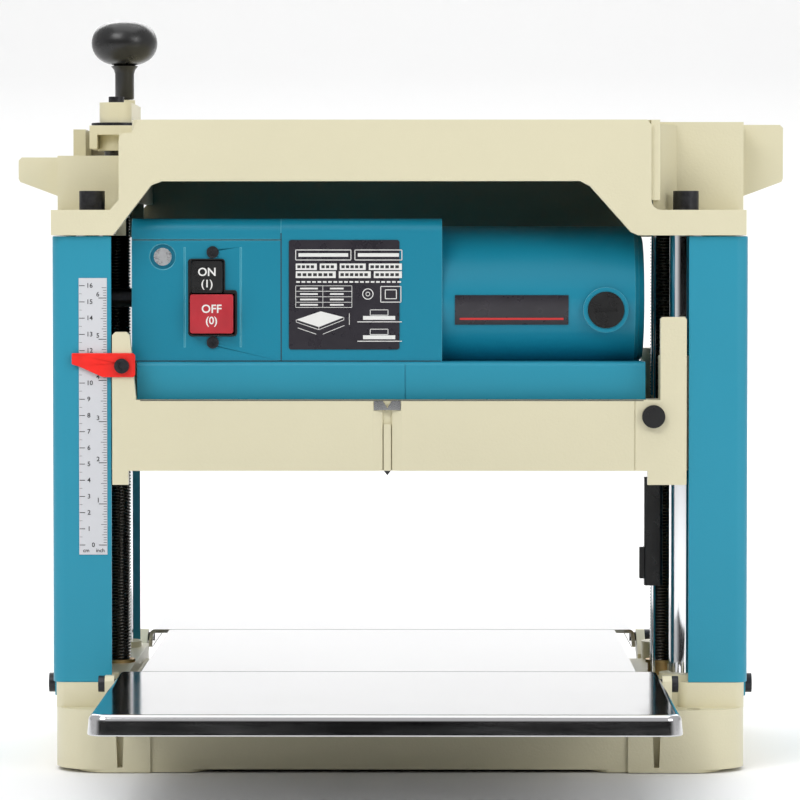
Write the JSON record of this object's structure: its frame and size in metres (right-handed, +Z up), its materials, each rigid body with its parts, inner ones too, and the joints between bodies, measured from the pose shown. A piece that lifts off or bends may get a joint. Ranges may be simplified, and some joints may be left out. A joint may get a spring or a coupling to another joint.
{
  "type": "thickness planer",
  "caption": "Portable thickness planer with a lifting cutterhead carriage on guide poles, a crank, a steel bed and folding infeed and outfeed tables.",
  "frame": {"origin": "centre of the bounding box in plan, on the floor under the base", "axes": "+X to the right seen from the infeed side, +Y along the feed from infeed to outfeed, +Z up"},
  "size_m": [0.483, 0.771, 0.4725],
  "materials": {
    "aluminium": "satin aluminium",
    "black_plastic": "moulded black plastic",
    "black_steel": "blackened steel",
    "bronze": "sintered bronze",
    "chrome": "bright chrome",
    "copper_core": "laminated core and winding",
    "cream_casting": "matt cream paint on cast metal",
    "polished_steel": "polished steel sheet",
    "red_plastic": "red plastic",
    "rubber": "black feed rubber",
    "steel": "machined steel",
    "teal_paint": "satin teal paint"
  },
  "bodies": {
    "stand": {"base": "cream_casting", "bottom_cover": "steel", "main_table": "polished_steel", "guide_poles": "chrome", "pole_bolts": "black_steel", "left_side_cover": "teal_paint", "right_side_cover": "teal_paint", "cover_bolts": "black_steel", "scale_plate": "aluminium", "top_frame": "cream_casting", "crank_bearing_cap": "cream_casting", "screw_bushes": "bronze", "lift_chain": "steel", "stop_rod": "chrome", "table_hinge_bolts": "black_steel"},
    "left_screw": {"left_lead_screw": "black_steel", "left_sprocket": "steel", "crank_washer": "black_steel", "crank_arm": "cream_casting", "crank_screw": "black_steel"},
    "knob": {"crank_knob": "black_plastic"},
    "right_screw": {"right_lead_screw": "black_steel", "right_sprocket": "steel"},
    "front_leaf": {"front_table": "polished_steel"},
    "rear_leaf": {"rear_table": "polished_steel"},
    "stop_sleeve": {"depth_stop": "black_plastic"},
    "stop_release": {"stop_button": "black_plastic"},
    "carriage": {"carriage_frame": "cream_casting", "pole_bushes": "bronze", "lead_nuts": "bronze", "cutter_cover": "teal_paint", "switch_box": "teal_paint", "motor_housing": "teal_paint", "housing_screws": "chrome", "rating_plate": "black_plastic", "badge_plate": "black_plastic", "switch_plate": "black_plastic", "switch_block": "black_plastic", "brush_caps": "black_plastic", "carriage_cap": "black_plastic", "height_pointer": "red_plastic", "pointer_screw": "black_steel", "gauge_window": "chrome", "motor_stator": "copper_core", "shaft_bearings": "steel", "drive_belt": "rubber", "gear_plate": "steel", "feed_chain": "steel", "chip_cover": "black_plastic", "cord_gland": "black_plastic"},
    "on_press": {"on_button": "black_plastic"},
    "off_press": {"off_button": "red_plastic"},
    "gauge": {"gauge_plunger": "cream_casting"},
    "motor_rotor": {"motor_armature": "copper_core"},
    "cutter": {"cutterhead": "steel", "planer_knives": "steel"},
    "first_gear": {"gear_a": "steel"},
    "second_gear": {"gear_b": "steel"},
    "front_roller": {"front_feed_roller": "rubber"},
    "rear_roller": {"rear_feed_roller": "rubber"}
  },
  "joints": [
    {"name": "crank_turn", "type": "hinge", "parent": "stand", "child": "left_screw", "pos_m": [-0.184, 0, 0.3], "axis": [0, 0, 1], "range_deg": [-6570, 20790]},
    {"name": "carriage_lift", "type": "slide", "parent": "stand", "child": "carriage", "axis": [0, 0, 1], "range_m": [-0.1155, 0.0365]},
    {"name": "right_screw_turn", "type": "hinge", "parent": "stand", "child": "right_screw", "pos_m": [0.17, 0, 0.3], "axis": [0, 0, 1], "continuous": true},
    {"name": "crank_knob_spin", "type": "hinge", "parent": "left_screw", "child": "knob", "pos_m": [-0.184, 0.075, 0.44], "axis": [0, 0, 1], "continuous": true},
    {"name": "front_table_fold", "type": "hinge", "parent": "stand", "child": "front_leaf", "pos_m": [0, -0.158, 0.056], "axis": [-1, 0, 0], "range_deg": [0, 90]},
    {"name": "rear_table_fold", "type": "hinge", "parent": "stand", "child": "rear_leaf", "pos_m": [0, 0.158, 0.056], "axis": [1, 0, 0], "range_deg": [0, 90]},
    {"name": "depth_stop_slide", "type": "slide", "parent": "stand", "child": "stop_sleeve", "axis": [0, 0, 1], "range_m": [-0.045, 0.06]},
    {"name": "stop_button_press", "type": "slide", "parent": "stop_sleeve", "child": "stop_release", "axis": [1, 0, 0], "range_m": [0, 0.0015], "stiffness_N_per_m": 120},
    {"name": "on_button_press", "type": "slide", "parent": "carriage", "child": "on_press", "axis": [0, 1, 0], "range_m": [0, 0.003], "stiffness_N_per_m": 200},
    {"name": "off_button_press", "type": "slide", "parent": "carriage", "child": "off_press", "axis": [0, 1, 0], "range_m": [0, 0.004], "stiffness_N_per_m": 200},
    {"name": "depth_gauge_slide", "type": "slide", "parent": "carriage", "child": "gauge", "axis": [0, 0, 1], "range_m": [0, 0.008]},
    {"name": "cutterhead_spin", "type": "hinge", "parent": "carriage", "child": "cutter", "pos_m": [0, 0.03, 0.2045], "axis": [1, 0, 0], "continuous": true},
    {"name": "motor_spin", "type": "hinge", "parent": "carriage", "child": "motor_rotor", "pos_m": [0, -0.065, 0.291], "axis": [1, 0, 0], "continuous": true},
    {"name": "first_gear_spin", "type": "hinge", "parent": "carriage", "child": "first_gear", "pos_m": [0, 0.018, 0.23417], "axis": [1, 0, 0], "continuous": true},
    {"name": "second_gear_spin", "type": "hinge", "parent": "carriage", "child": "second_gear", "pos_m": [0, -0.015, 0.24235], "axis": [1, 0, 0], "continuous": true},
    {"name": "front_roller_spin", "type": "hinge", "parent": "carriage", "child": "front_roller", "pos_m": [0, -0.03, 0.197], "axis": [1, 0, 0], "continuous": true},
    {"name": "rear_roller_spin", "type": "hinge", "parent": "carriage", "child": "rear_roller", "pos_m": [0, 0.08, 0.197], "axis": [1, 0, 0], "continuous": true}
  ],
  "couplings": [
    {"joint": "crank_turn", "follows": "carriage_lift", "rad_per_m": -3141.6},
    {"joint": "right_screw_turn", "follows": "carriage_lift", "rad_per_m": -3141.6},
    {"joint": "motor_spin", "follows": "cutterhead_spin", "ratio": 2},
    {"joint": "first_gear_spin", "follows": "cutterhead_spin", "ratio": -0.14286},
    {"joint": "second_gear_spin", "follows": "cutterhead_spin", "ratio": 0.019048},
    {"joint": "front_roller_spin", "follows": "cutterhead_spin", "ratio": 0.0095238},
    {"joint": "rear_roller_spin", "follows": "cutterhead_spin", "ratio": 0.0095238}
  ]
}
